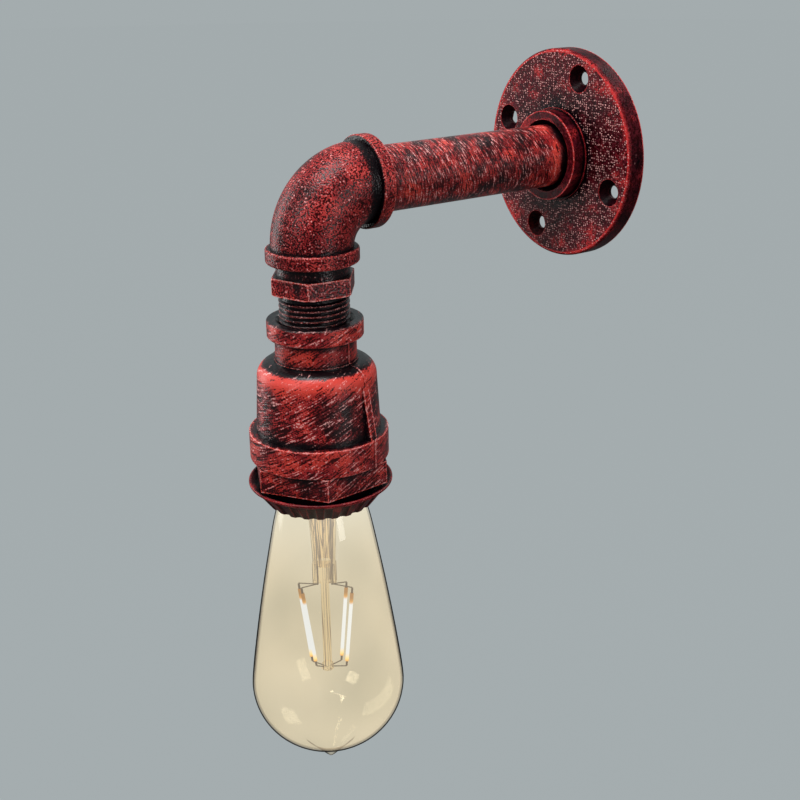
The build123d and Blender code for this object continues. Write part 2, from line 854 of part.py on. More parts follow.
def stem_glass():
    foot_radius = glass_neck_radius - glass_wall
    foot = glass_neck_end - stem_foot_height

    def flare(inset):
        return turned(
            (0, glass_neck_end),
            (foot_radius - inset, glass_neck_end),
            (foot_radius - inset, foot),
            (stem_shoulder[0] - inset, lamp_top - stem_shoulder[1]),
            (stem_waist[0] - inset, lamp_top - stem_waist[1]),
            (stem_pinch_radius - inset, pinch_top),
            (0, pinch_top),
        )

    middle = (pinch_top + pinch_foot) / 2
    body = flare(0) - flare(stem_wall)
    body += Pos(0, 0, middle) * Box(stem_pinch_width, stem_pinch_thickness, stem_pinch_height)
    body += rod(rod_radius, rod_foot, pinch_foot)
    body += rod(rod_button_radius, rod_foot - rod_button_height, rod_foot)
    for side in (1, -1):
        body -= Pos(side * wire_spread, 0, 0) * rod(wire_radius, pinch_foot, pinch_top)
    body = FILAMENTS * body
    for i in range(len(filament_tops)):
        body -= link_wire(i)
    return body


def led_filament(i):
    top, foot = filament_axis(i)
    return FILAMENTS * wire(filament_radius, [top, foot])


def filament_tabs():
    tabs = []
    for i in range(len(filament_tops)):
        top, foot = filament_axis(i)
        for end, other in ((top, foot), (foot, top)):
            place = Plane(origin=end, z_dir=Vector(*end) - Vector(*other))
            tab = Pos(0, 0, tab_length / 2) * Box(tab_width, tab_thickness, tab_length)
            tabs.append(FILAMENTS * place.location * tab)
    return tabs


def driver_board():
    board = rod(screw_core_radius - cap_metal, board_foot, board_top)
    return LAMP * board


def driver_capacitor():
    body = rod(capacitor_radius, board_top, board_top + capacitor_height)
    return LAMP * Pos(0, capacitor_offset, 0) * fillet(circles(body, capacitor_radius)[-1], driver_slot_width)


def button_wire():
    return LAMP * rod(wire_radius, board_top, insulator_top)


# ---------------------------------------------------------------- write every piece
if __name__ == "__main__":
    os.makedirs("parts", exist_ok=True)
    save("wall_flange", wall_flange())
    save("arm_pipe", arm_pipe())
    save("elbow", elbow())
    save("hex_nipple", hex_nipple())
    save("holder_casing", holder_casing())
    save("shade_ring", shade_ring())
    save("mounting_plate", mounting_plate())
    save("plate_screws", *plate_screws())
    save("entry_tube", entry_tube())
    save("lock_nut", lock_nut())
    save("earth_tag", earth_tag())
    save("holder_cap", holder_cap())
    save("holder_insert", holder_insert())
    save("holder_skirt", holder_skirt())
    save("screw_shell", screw_shell())
    save("centre_contact", centre_contact())
    save("shell_contact", shell_contact())
    save("terminal_screws", *terminal_screws())
    save("flex_sheath", flex_sheath())
    save("live_lead", supply_lead(1))
    save("neutral_lead", supply_lead(-1))
    save("earth_lead", earth_lead())
    save("wire_ferrules", *wire_ferrules())
    save("cap_button", cap_button())
    save("cap_insulator", cap_insulator())
    save("lamp_cap", lamp_cap())
    save("cap_cement", cap_cement())
    save("bulb_glass", bulb_glass())
    save("driver_board", driver_board())
    save("driver_capacitor", driver_capacitor())
    save("button_wire", button_wire())
    save("stem_glass", stem_glass())
    save("feed_wire_1", feed_wire(1))
    save("feed_wire_2", feed_wire(-1))
    for number in range(len(filament_tops)):
        save(f"led_filament_{number + 1}", led_filament(number))
    save("filament_tabs", *filament_tabs())
    save("link_wires", *[link_wire(number) for number in range(len(filament_feet))])
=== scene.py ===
from math import cos, radians, sin

import bmesh
import bpy
from mathutils import Matrix, Vector

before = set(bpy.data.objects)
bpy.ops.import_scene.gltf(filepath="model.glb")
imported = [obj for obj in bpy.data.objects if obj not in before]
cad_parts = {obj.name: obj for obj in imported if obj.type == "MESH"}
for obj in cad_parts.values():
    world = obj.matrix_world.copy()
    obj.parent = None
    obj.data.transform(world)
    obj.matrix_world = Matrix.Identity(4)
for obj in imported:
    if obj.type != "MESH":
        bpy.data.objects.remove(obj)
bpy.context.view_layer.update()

# Looks of a wall light made of pipe fittings in antique red, with a lit amber lamp. Metres, in the
# part's own frame: the wall is the plane Y = 0, the arm runs along -Y and the lamp hangs along -Z.
scene = bpy.context.scene
MM = 0.001
NOISE_MEAN = 0.5                                # of a noise node's Fac
CLOUD_FROM, CLOUD_TO = 0.3, 0.7                 # nearly all of that Fac lies between these

# Places on the part by which a pattern is set.
FLANGE_FACE = -8.1 * MM                         # Y of the flange's flat front
FACE_WITHIN = 0.1 * MM                          # how far from that plane still counts as the front
SINK_FROM = FLANGE_FACE + 0.2 * MM              # a countersink lies behind this,
SINK_RADIUS = 42 * MM                           # and within this radius, which leaves the rim out
LAMP_MIDDLE = 0, -135.95 * MM, -215 * MM        # in the widest part of the lamp
WHITE_FROM, WHITE_FULL = -175 * MM, -120 * MM   # Z over which the lamp's light whitens to its cap
FILAMENT_FOOT, FILAMENT_TOP = -212.4 * MM, -177.8 * MM
TOWARDS_VIEWER = radians(-30.7)                 # level way to the photograph's side, from +X


# ---------------------------------------------------------------- small helpers
def linear(hex_colour):
    """An sRGB hex colour as linear RGBA."""
    parts = [int(hex_colour[i:i + 2], 16) / 255 for i in (0, 2, 4)]
    return [c / 12.92 if c <= 0.04045 else ((c + 0.055) / 1.055) ** 2.4 for c in parts] + [1.0]


def add(tree, kind, inputs=None, stops=(), **settings):
    """Adds one shader node.

    inputs holds its sockets by name or number: a value, or another node's output. stops fills a
    colour ramp with (position, hex colour).
    """
    made = tree.nodes.new("ShaderNode" + kind)
    for key, value in settings.items():
        setattr(made, key, value)
    for key, value in (inputs or {}).items():
        if isinstance(value, bpy.types.NodeSocket):
            tree.links.new(value, made.inputs[key])
        else:
            made.inputs[key].default_value = value
    for stop, (position, hex_colour) in enumerate(stops):
        if stop == len(made.color_ramp.elements):
            made.color_ramp.elements.new(1.0)
        made.color_ramp.elements[stop].position = position
        made.color_ramp.elements[stop].color = linear(hex_colour)
    return made


def blank(name):
    """An empty node material: the material, its node tree and its output node."""
    material = bpy.data.materials.new(name)
    material.use_nodes = True
    material.node_tree.nodes.clear()
    return material, material.node_tree, add(material.node_tree, "OutputMaterial")


def dress(material, *nodes):
    """Puts a material on CAD nodes, in place of the one that they came with."""
    for name in nodes:
        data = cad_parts[name].data
        data.materials.clear()
        data.materials.append(material)


# ---------------------------------------------------------------- antique red paint
# Black enamel, stained deep red, brushed over with red almost dry and then rubbed with a rag: the
# stain shows between the hair lines, bare enamel in grooves and corners, darkened further there as
# painted shade, and pale pink lies on hair lines and edges, partly the rag's dust and partly
# painted glint and highlight. The photograph's hair lines and grit are finer. Here the lines are
# drawn about
# 1.2 mm apart and the grit 0.6 to 0.75 mm wide, because finer ones blur at 800 pixels.
ENAMEL, STAIN, DUST_AND_GLINT, PEBBLE_GLINT_PINK = "060104", "320405", "D89A96", "DCA09C"
REDS = "2A080C", "841A1E", "C0382E"             # thin, middling and full coat
MAROONS = "2C060E", "4C1019", "AA2A2A"          # the same of the darker red on flange and ring
COATS = 0.3, 0.5, 0.75                          # how thick those three coats are
GROUND_STOPS = (0.2, ENAMEL), (0.6, STAIN)      # what shows under a coat of that thickness
RED_FROM, RED_FULL = 0.47, 0.67                 # paint level where red begins to cover, and covers
PATCH_IN_LEVEL = 0.35                           # how much patches count there beside hair and grit
CORNER_SHADE_FROM, CORNER_SHADE_FULL = 0.85, 0.45           # open share of the air round a point in a corner, where painted shade begins and is full
EDGE_FROM, EDGE_FULL = 0.92, 0.6                # the same of the metal under a point at an edge
DUST_AND_GLINT_FROM, DUST_AND_GLINT_FULL = 0.5, 0.85                # how far a hair line stands up to take pink dust and painted glint
DUST_AND_GLINT_COVER = 0.85
LESS_ON_SOLID = -0.5                            # solid red, bare enamel and painted shade bands take less of that pink
ROUGH_ENAMEL, ROUGH_RED = 0.3, 0.42
PAINT_IOR = 1.45
PEBBLE_SIZE = 1.25 * MM, 1 * MM, 1 * MM         # along X, Y and Z
PEBBLE_FOOT, PEBBLE_TOP = 0.42, 0.22            # in pebbles, from the middle of one
PEBBLE_PALE, PEBBLE_DULL = 0.85, 0.5            # how pink the tops are on thin and thick patches
# how dark the countersinks are painted: bare enamel, and painted shade
SINK_SHADE = 0.85


def brushed_and_shaded_along(tree, place, axes, stretches):
    """How much more or less red the brush left along one way over the piece, with black bands at
    creases that are partly bare enamel and partly painted shade.

    axes picks the coordinates whose length from the origin is measured. stretches is a list of
    (mm, share) points, with shares from -1 to 1, which the curve holds as 0 to 1.
    """
    along = add(tree, "VectorMath", {0: place, 1: axes}, operation="MULTIPLY").outputs[0]
    along = add(tree, "VectorMath", {0: along}, operation="LENGTH").outputs["Value"]
    first, last = stretches[0][0], stretches[-1][0]
    along = add(tree, "MapRange", {"Value": along, "From Min": first * MM,
                                   "From Max": last * MM}).outputs[0]
    curve = add(tree, "FloatCurve", {"Value": along})
    points = curve.mapping.curves[0].points
    while len(points) < len(stretches):
        points.new(0.5, 0.5)
    for point, (distance, share) in zip(points, stretches):
        point.location = (distance - first) / (last - first), 0.5 + 0.5 * share
        point.handle_type = "VECTOR"
    curve.mapping.update()
    return add(tree, "Math", {0: curve.outputs[0], 1: 2.0, 2: -1.0},
               operation="MULTIPLY_ADD").outputs[0]


def pebbled_face(tree, place, patch, edge, skin, colour):
    """The flange's front: its colour and its height, with pebbles whose pink tops are partly
    painted glint, and dark countersinks of bare enamel and painted shade added.
    """
    # on the flat, pebbles nearly in rows, each with pale pink on its top, partly rubbed and partly
    # painted glint, none along an edge
    cell = add(tree, "Mapping", {"Vector": place, "Scale": PEBBLE_SIZE},
               vector_type="TEXTURE").outputs[0]
    cell = add(tree, "TexVoronoi", {"Vector": cell, "Scale": 1.0, "Randomness": 0.45})
    pebble = add(tree, "MapRange", {"Value": cell.outputs["Distance"], "From Min": PEBBLE_FOOT,
                                    "From Max": PEBBLE_TOP}).outputs[0]
    spot = add(tree, "SeparateXYZ", {"Vector": place}).outputs["Y"]
    flat = add(tree, "Math", {0: spot, 1: FLANGE_FACE, 2: FACE_WITHIN},
               operation="COMPARE").outputs[0]
    flat = add(tree, "Math", {0: flat, 1: edge}, operation="SUBTRACT", use_clamp=True).outputs[0]
    pebble = add(tree, "Math", {0: pebble, 1: flat}, operation="MULTIPLY").outputs[0]
    shade = add(tree, "MapRange", {"Value": patch, "From Min": CLOUD_FROM, "From Max": CLOUD_TO,
                                   "To Min": PEBBLE_PALE, "To Max": PEBBLE_DULL}).outputs[0]
    tops = add(tree, "Math", {0: shade, 1: pebble}, operation="MULTIPLY").outputs[0]
    colour = add(tree, "Mix", {0: tops, 6: colour, 7: linear(PEBBLE_GLINT_PINK)},
                 data_type="RGBA").outputs[2]

    # the countersinks are painted black, bare enamel and painted shade in the holes: what lies
    # behind the flat face, inside the rim
    sunk_shade = add(tree, "Math", {0: spot, 1: SINK_FROM}, operation="GREATER_THAN").outputs[0]
    across = add(tree, "VectorMath", {0: place, 1: (1, 0, 1)}, operation="MULTIPLY").outputs[0]
    across = add(tree, "VectorMath", {0: across}, operation="LENGTH").outputs["Value"]
    within = add(tree, "Math", {0: across, 1: SINK_RADIUS}, operation="LESS_THAN").outputs[0]
    sunk_shade = add(tree, "Math", {0: sunk_shade, 1: within}, operation="MULTIPLY").outputs[0]
    sunk_shade = add(tree, "Math", {0: sunk_shade, 1: SINK_SHADE}, operation="MULTIPLY").outputs[0]
    colour = add(tree, "Mix", {0: sunk_shade, 6: colour, 7: linear(ENAMEL)},
                 data_type="RGBA").outputs[2]
    return colour, add(tree, "Math", {0: pebble, 1: skin}, operation="ADD").outputs[0]


def antique_red(name, hair_size, hair_share, grit_size, grit_share, cover, hair_turn=(0, 0, 0),
                patch_size=9, patch_share=1.0, axes=(0, 0, 1), stretches=((0, 0), (300, 0)),
                dust_and_glint=0.2, relief=0.05, pebbles=False, edge_rub_and_highlight=0.5, edge_width=0.8,
                corner_shade_size=4.0, reds=REDS, gloss=0.35):
    """Antique red paint over one kind of metal skin. Sizes are in mm.

    hair_size    the brush hairs' run along X, Y and Z, turned by hair_turn
    grit_size    the skin's grit, and patch_size that of thinner and thicker patches
    ..._share    how strongly hairs, grit and patches break up the red
    cover        how much red there is; axes and stretches change it along the piece
    dust_and_glint  how much pink is on hair lines: the rag's dust, and painted glint
    relief       how high hairs and grit stand; pebbles adds the flange's pebbled face
    edge_rub_and_highlight  how bright the edges are, rubbed and painted highlight, edge_width in
    from them corner_shade_size  how far from a corner the bare enamel and painted shade reach
    reds         the red's thin, middling and full coat; gloss is its specular level
    """
    material, tree, output = blank(name)
    place = add(tree, "TexCoord").outputs["Object"]
    hair = add(tree, "Mapping", {"Vector": place, "Rotation": hair_turn,
                                 "Scale": [size * MM for size in hair_size]},
               vector_type="TEXTURE").outputs[0]
    hair = add(tree, "TexNoise", {"Vector": hair, "Scale": 1.0, "Detail": 1.0,
                                  "Roughness": 0.7}).outputs["Fac"]
    grit = add(tree, "TexNoise", {"Vector": place, "Scale": 1 / (grit_size * MM),
                                  "Detail": 0.0}).outputs["Fac"]
    patch = add(tree, "TexNoise", {"Vector": place, "Scale": 1 / (patch_size * MM),
                                   "Detail": 3.0, "Roughness": 0.6}).outputs["Fac"]
    skin = add(tree, "Math", {0: hair, 1: hair_share}, operation="MULTIPLY").outputs[0]
    skin = add(tree, "Math", {0: grit, 1: grit_share, 2: skin},
               operation="MULTIPLY_ADD").outputs[0]

    # the brush doesn't reach corners, and ambient occlusion darkens them further as painted shade;
    # the rag rubs edges bright, and part of that brightness is painted highlight
    corner = add(tree, "AmbientOcclusion", {"Distance": corner_shade_size * MM}, samples=4).outputs["AO"]
    corner = add(tree, "MapRange", {"Value": corner, "From Min": CORNER_SHADE_FROM,
                                    "From Max": CORNER_SHADE_FULL, "To Max": -1.0}).outputs[0]
    edge = add(tree, "AmbientOcclusion", {"Distance": edge_width * MM}, samples=4, inside=True,
               only_local=True).outputs["AO"]
    edge = add(tree, "MapRange", {"Value": edge, "From Min": EDGE_FROM, "From Max": EDGE_FULL,
                                  "To Max": edge_rub_and_highlight}).outputs[0]
    # bands along the piece: more or less red, and black at creases as bare enamel and painted shade
    brushed_and_shaded = brushed_and_shaded_along(tree, place, axes, stretches)
    touch = add(tree, "Math", {0: edge, 1: corner}, operation="ADD").outputs[0]

    # rub is how far the skin stands up under the rag, coat how thick the red is, and level how
    # well the two together let it cover; the noises' means are taken off first
    rub = add(tree, "Math", {0: skin, 1: -NOISE_MEAN * (hair_share + grit_share)},
              operation="ADD").outputs[0]
    rub = add(tree, "Math", {0: rub, 1: touch}, operation="ADD").outputs[0]
    coat = add(tree, "Math", {0: patch, 1: patch_share, 2: cover - NOISE_MEAN * patch_share},
               operation="MULTIPLY_ADD").outputs[0]
    coat = add(tree, "Math", {0: coat, 1: touch}, operation="ADD").outputs[0]
    coat = add(tree, "Math", {0: coat, 1: brushed_and_shaded}, operation="ADD").outputs[0]
    level = add(tree, "Math", {0: rub, 1: cover}, operation="ADD").outputs[0]
    level = add(tree, "Math", {0: level, 1: brushed_and_shaded}, operation="ADD").outputs[0]
    level = add(tree, "Math", {0: coat, 1: PATCH_IN_LEVEL, 2: level},
                operation="MULTIPLY_ADD").outputs[0]

    red = add(tree, "ValToRGB", {"Fac": coat}, stops=zip(COATS, reds)).outputs["Color"]
    full = add(tree, "MapRange", {"Value": level, "From Min": RED_FROM,
                                  "From Max": RED_FULL}).outputs[0]
    ground = add(tree, "ValToRGB", {"Fac": coat}, stops=GROUND_STOPS).outputs["Color"]
    colour = add(tree, "Mix", {0: full, 6: ground, 7: red}, data_type="RGBA").outputs[2]
    # pale pink where the skin stands up: partly the rag's dust, partly painted glint and highlight
    solid = add(tree, "Math", {0: brushed_and_shaded}, operation="ABSOLUTE").outputs[0]
    dust_and_glint_share = add(tree, "Math", {0: solid, 1: LESS_ON_SOLID, 2: rub},
                operation="MULTIPLY_ADD").outputs[0]
    dust_and_glint_share = add(tree, "MapRange", {"Value": dust_and_glint_share, "From Min": DUST_AND_GLINT_FROM - dust_and_glint,
                                   "From Max": DUST_AND_GLINT_FULL - dust_and_glint, "To Max": DUST_AND_GLINT_COVER}).outputs[0]
    colour = add(tree, "Mix", {0: dust_and_glint_share, 6: colour, 7: linear(DUST_AND_GLINT)}, data_type="RGBA").outputs[2]
    height = skin
    if pebbles:
        colour, height = pebbled_face(tree, place, patch, edge, skin, colour)

    rough = add(tree, "MapRange", {"Value": full, "To Min": ROUGH_ENAMEL,
                                   "To Max": ROUGH_RED}).outputs[0]
    bump = add(tree, "Bump", {"Height": height, "Strength": 1.0,
                              "Distance": relief * MM}).outputs[0]
    shader = add(tree, "BsdfPrincipled", {"Base Color": colour, "Roughness": rough, "Normal": bump,
                                          "IOR": PAINT_IOR, "Specular IOR Level": gloss})
    tree.links.new(shader.outputs[0], output.inputs[0])
    return material


def tilted(level_line, tilt):
    """The turn that tilts hairs by tilt degrees about the level line in direction level_line."""
    line = Vector((cos(level_line), sin(level_line), 0))
    return Matrix.Rotation(radians(tilt), 3, line).to_euler()


# Sand-cast iron, shot-blasted: a pebbled face in dark maroon, with pink pebble tops that are partly
# painted glint, black by the hub and in the countersinks, bare enamel and painted shade, with a
# rubbed red front edge and hardly any shine.
dress(antique_red("cast_iron_flange_antique_red", hair_size=(2, 2, 2), hair_share=0.9,
                  grit_size=0.7, grit_share=1.4, cover=0.53, axes=(1, 0, 1),
                  stretches=((12, -0.03), (19.6, -0.08), (21, -0.25), (27, -0.12), (36, -0.05),
                             (43.6, 0.0), (44.1, 0.45), (44.6, 0.1), (45.4, -0.15)),
                  dust_and_glint=0.0, relief=0.06, pebbles=True, edge_rub_and_highlight=0.6, edge_width=0.7,
                  corner_shade_size=3, reds=MAROONS, gloss=0.05),
      "wall_flange")
# Drawn steel pipe: fine hairs round it, a little aslant, and solid red beside the hub.
dress(antique_red("steel_pipe_antique_red", hair_size=(4.5, 0.55, 4.5), hair_share=3.4,
                  hair_turn=Matrix.Rotation(radians(16), 3, "X").to_euler(),
                  grit_size=0.6, grit_share=1.2, cover=0.48, patch_size=8, patch_share=1.3,
                  axes=(0, 1, 0),
                  stretches=((12, 0.1), (20, 0.2), (28, -0.02), (80, 0.0), (104, 0.05)),
                  dust_and_glint=0.1),
      "arm_pipe")
# Malleable cast iron: a fine cracked grain in the paint, black in the corners beside the bands,
# bare enamel darkened further as painted shade.
dress(antique_red("malleable_iron_elbow_antique_red", hair_size=(2, 2, 2), hair_share=0.3,
                  grit_size=0.7, grit_share=3.2, cover=0.45, patch_size=12, patch_share=0.8,
                  axes=(0, 1, 0),
                  stretches=((107, 0.05), (113, 0.05), (113.4, -0.7), (116, -0.5), (118.5, 0.05),
                             (155, 0.0)),
                  relief=0.06, dust_and_glint=-0.2, edge_rub_and_highlight=0.9, corner_shade_size=7,
                  reds=("34090D", "841D1F", "C0403A"), gloss=0.22),
      "elbow")
# The same iron with a cut thread: red flats, edges and thread crests made bright, partly rubbed and
# partly painted highlight, and a black thread.
dress(antique_red("malleable_iron_nipple_antique_red", hair_size=(2, 2, 0.8), hair_share=0.4,
                  grit_size=0.75, grit_share=2.6, cover=0.45, patch_size=6, patch_share=0.9,
                  stretches=((20, -0.1), (33.0, -0.1), (33.6, 0.0), (40.4, 0.0), (40.8, -0.6),
                             (53, -0.6)),
                  relief=0.06, dust_and_glint=0.0, edge_rub_and_highlight=1.1),
      "hex_nipple")
# Cast bell: hairs that rise to the right, smooth full red over the shoulder, and black where it
# meets its neck and its band, bare enamel darkened further as painted shade.
dress(antique_red("cast_casing_antique_red", hair_size=(7, 7, 0.7), hair_share=3.2,
                  hair_turn=tilted(TOWARDS_VIEWER, 30),
                  grit_size=0.7, grit_share=1.5, cover=0.5, patch_size=10, patch_share=1.1,
                  stretches=((51.8, -0.6), (52.2, -0.6), (52.8, 0.1), (68.2, 0.12), (68.9, -0.6),
                             (70.2, -0.6), (71.3, 0.2), (73.5, 0.45), (76.5, 0.2), (79, 0.02),
                             (96, -0.06), (98.8, -0.3), (99.5, 0.1), (110.5, 0.08),
                             (111.5, -0.04), (120.8, -0.04)),
                  dust_and_glint=0.09, edge_rub_and_highlight=0.8, edge_width=0.7),
      "holder_casing")
# Pressed steel: dark maroon between the flutes, with red along their crests, partly rubbed and
# partly painted highlight.
dress(antique_red("pressed_ring_antique_red", hair_size=(3, 3, 1.5), hair_share=0.4,
                  grit_size=0.7, grit_share=1.4, cover=0.46, patch_size=8, patch_share=0.9,
                  dust_and_glint=0.0, edge_rub_and_highlight=0.55, edge_width=0.6, reds=MAROONS, gloss=0.15),
      "shade_ring")


# ---------------------------------------------------------------- hidden metal, plastics and cable
FINE_GRIT, CLOUD = 0.6 * MM, 9 * MM             # real grit is finer: drawn so coarse that it shows
CLOUD_CHANGE = 0.12                             # how much darker a cloud is
ROUGH_CHANGE = 0.08                             # how much rougher or smoother the grit is
GRIT_RELIEF = 0.02 * MM


def plain(name, colour, roughness, metallic=0.0):
    """A moulded, turned or plated surface with faint cloudiness and fine grit."""
    material, tree, output = blank(name)
    place = add(tree, "TexCoord").outputs["Object"]
    fine = add(tree, "TexNoise", {"Vector": place, "Scale": 1 / FINE_GRIT,
                                  "Detail": 3.0}).outputs["Fac"]
    cloud = add(tree, "TexNoise", {"Vector": place, "Scale": 1 / CLOUD,
                                   "Detail": 2.0}).outputs["Fac"]
    shade = [c * (1 - CLOUD_CHANGE) for c in linear(colour)[:3]] + [1.0]
    tone = add(tree, "Mix", {0: cloud, 6: shade, 7: linear(colour)}, data_type="RGBA").outputs[2]
    rough = add(tree, "MapRange", {"Value": fine, "To Min": roughness - ROUGH_CHANGE,
                                   "To Max": roughness + ROUGH_CHANGE}).outputs[0]
    bump = add(tree, "Bump", {"Height": fine, "Strength": 1.0,
                              "Distance": GRIT_RELIEF}).outputs[0]
    shader = add(tree, "BsdfPrincipled", {"Base Color": tone, "Metallic": metallic,
                                          "Roughness": rough, "Normal": bump})
    tree.links.new(shader.outputs[0], output.inputs[0])
    return material


# Bright zinc on pressed and turned steel: cool pale grey with a soft, blurred shine.
dress(plain("zinc_plated_steel", "B9BCC0", roughness=0.35, metallic=1.0),
      "mounting_plate", "plate_screws", "entry_tube", "lock_nut", "terminal_screws")
# Stamped and turned brass: warm yellow with a clearer shine.
dress(plain("brass", "C9A455", roughness=0.3, metallic=1.0),
      "centre_contact", "shell_contact", "cap_button", "earth_tag")
# Nickel over drawn brass: warm light grey, the brightest metal here.
dress(plain("nickel_plated_brass", "C4BCAC", roughness=0.25, metallic=1.0),
      "screw_shell", "lamp_cap")
# Tinned copper tube, crimped: pale grey and dull.
dress(plain("tinned_copper", "BFC0BE", roughness=0.4, metallic=1.0), "wire_ferrules")
# Phenolic from a polished mould: warm black with a low shine.
dress(plain("moulded_phenolic", "1B1917", roughness=0.35), "holder_cap", "holder_skirt")
# Porcelain, pressed and fired without a glaze: matt cream.
dress(plain("unglazed_porcelain", "E4DFD2", roughness=0.6), "holder_insert")
# Rubber drawn round the cable: blue-black and matt.
dress(plain("cable_sheath_rubber", "17181A", roughness=0.55), "flex_sheath")
# PVC drawn round each core, smooth with a soft shine: brown live, blue neutral, green earth.
dress(plain("brown_core_pvc", "5A3420", roughness=0.4), "live_lead")
dress(plain("blue_core_pvc", "2C5FA8", roughness=0.4), "neutral_lead")
dress(plain("earth_core_pvc", "6BA51E", roughness=0.4), "earth_lead")
# Black glass, pressed into the cap: a hard, nearly sharp shine.
dress(plain("black_glass_insulator", "101014", roughness=0.12), "cap_insulator")
# Baked lamp cement: dry, chalky tan.
dress(plain("lamp_cement", "CDBE9C", roughness=0.8), "cap_cement")
# Pressed glass fibre board under green lacquer: satin green.
dress(plain("glass_fibre_board", "1E6B35", roughness=0.45), "driver_board")
# Plastic sleeve, shrunk over a drawn can: dark blue with a soft shine.
dress(plain("shrink_sleeve", "1A1F33", roughness=0.35), "driver_capacitor")
# Nickel wire, oxidised while the glass was sealed: dark brown, and no mirror of a metal left.
dress(plain("oxidised_nickel_wire", "1C0E04", roughness=0.35),
      "button_wire", "feed_wire_1", "feed_wire_2", "link_wires", "filament_tabs")


# ---------------------------------------------------------------- lamp
RIM_WIDTH = 0.1                                 # how soon the deep tint is at its full, by facing
DRAWN_LINE = 1.6 * MM, 1.6 * MM, 90 * MM        # wider than real ones, which would blur
DRAWN_WIDTH = 0.05                              # how near its mean the noise draws a line
LIGHT_CLOUD = 30 * MM
MIRROR_LEAST, MIRROR_MOST = 0.014, 0.1          # mirror share seen square on and edge on
SCHLICK_POWER = 5.0
WHITE_GLOW = "FFFAF0"


def lamp_glass(name, tint, rim, rim_from, glow, strength, haze=0.0, lines=0.0, inner=1.0):
    """Blown soda-lime glass: nearly clear, deeper where its wall is seen edge on, faintly lit.

    rim_from  how far toward the edge of the piece the deep tint, rim, begins
    glow      the colour of the light from inside, and strength how much there is
    haze      how uneven that light is; it is whitest up by the cap
    lines     how strong the drawn lines along the piece are
    inner     how much of the deep tint the inner wall shows, so that the outline isn't drawn twice
    """
    material, tree, output = blank(name)
    place = add(tree, "TexCoord").outputs["Object"]
    facing = add(tree, "LayerWeight", {"Blend": 0.5}).outputs["Facing"]
    depth = add(tree, "MapRange", {"Value": facing, "From Min": rim_from,
                                   "From Max": rim_from + RIM_WIDTH}).outputs[0]
    # the outer wall's normal points away from the middle of the lamp; a back face shows it turned
    surface = add(tree, "NewGeometry")
    outer = add(tree, "VectorMath", {0: place, 1: LAMP_MIDDLE}, operation="SUBTRACT").outputs[0]
    outer = add(tree, "VectorMath", {0: outer, 1: surface.outputs["Normal"]},
                operation="DOT_PRODUCT").outputs["Value"]
    outer = add(tree, "Math", {0: outer, 1: 0.0}, operation="GREATER_THAN").outputs[0]
    outer = add(tree, "Math", {0: outer, 1: surface.outputs["Backfacing"]},
                operation="SUBTRACT").outputs[0]
    outer = add(tree, "Math", {0: outer}, operation="ABSOLUTE").outputs[0]
    wall = add(tree, "MapRange", {"Value": outer, "To Min": inner, "To Max": 1.0}).outputs[0]
    depth = add(tree, "Math", {0: depth, 1: wall}, operation="MULTIPLY").outputs[0]
    drawn = add(tree, "Mapping", {"Vector": place, "Scale": DRAWN_LINE},
                vector_type="TEXTURE").outputs[0]
    drawn = add(tree, "TexNoise", {"Vector": drawn, "Scale": 1.0, "Detail": 0.0}).outputs["Fac"]
    drawn = add(tree, "Math", {0: drawn, 1: NOISE_MEAN}, operation="SUBTRACT").outputs[0]
    drawn = add(tree, "Math", {0: drawn}, operation="ABSOLUTE").outputs[0]
    drawn = add(tree, "MapRange", {"Value": drawn, "From Min": DRAWN_WIDTH, "From Max": 0.0,
                                   "To Max": lines}).outputs[0]
    depth = add(tree, "Math", {0: depth, 1: drawn}, operation="MAXIMUM").outputs[0]
    through = add(tree, "Mix", {0: depth, 6: linear(tint), 7: linear(rim)},
                  data_type="RGBA").outputs[2]
    clear = add(tree, "BsdfTransparent", {"Color": through})

    # light that hangs in the lamp: cloudy, whiter and stronger toward the cap, none where it's deep
    spot = add(tree, "SeparateXYZ", {"Vector": place}).outputs["Z"]
    high = add(tree, "MapRange", {"Value": spot, "From Min": WHITE_FROM, "From Max": WHITE_FULL},
               interpolation_type="SMOOTHSTEP").outputs[0]
    cloud = add(tree, "TexNoise", {"Vector": place, "Scale": 1 / LIGHT_CLOUD,
                                   "Detail": 0.0}).outputs["Fac"]
    even = add(tree, "MapRange", {"Value": cloud, "From Min": CLOUD_FROM, "From Max": CLOUD_TO,
                                  "To Min": 1 - haze, "To Max": 1 + haze}).outputs[0]
    even = add(tree, "Math", {0: high, 1: 2 * haze, 2: even}, operation="MULTIPLY_ADD").outputs[0]
    even = add(tree, "Math", {0: even, 1: strength}, operation="MULTIPLY").outputs[0]
    thin = add(tree, "Math", {0: 1.0, 1: depth}, operation="SUBTRACT").outputs[0]
    even = add(tree, "Math", {0: even, 1: thin}, operation="MULTIPLY").outputs[0]
    white = add(tree, "Mix", {0: high, 6: linear(glow), 7: linear(WHITE_GLOW)},
                data_type="RGBA").outputs[2]
    lit = add(tree, "Emission", {"Color": white, "Strength": even})
    body = add(tree, "AddShader", {0: clear.outputs[0], 1: lit.outputs[0]})
    gloss = add(tree, "BsdfGlossy", {"Color": linear("FFFFFF"), "Roughness": 0.02})
    # Schlick's mirror share, alike on both sides of the wall
    steep = add(tree, "Math", {0: facing, 1: SCHLICK_POWER}, operation="POWER").outputs[0]
    mirror = add(tree, "MapRange", {"Value": steep, "To Min": MIRROR_LEAST,
                                    "To Max": MIRROR_MOST}).outputs[0]
    whole = add(tree, "MixShader", {0: mirror, 1: body.outputs[0], 2: gloss.outputs[0]})
    tree.links.new(whole.outputs[0], output.inputs[0])
    return material


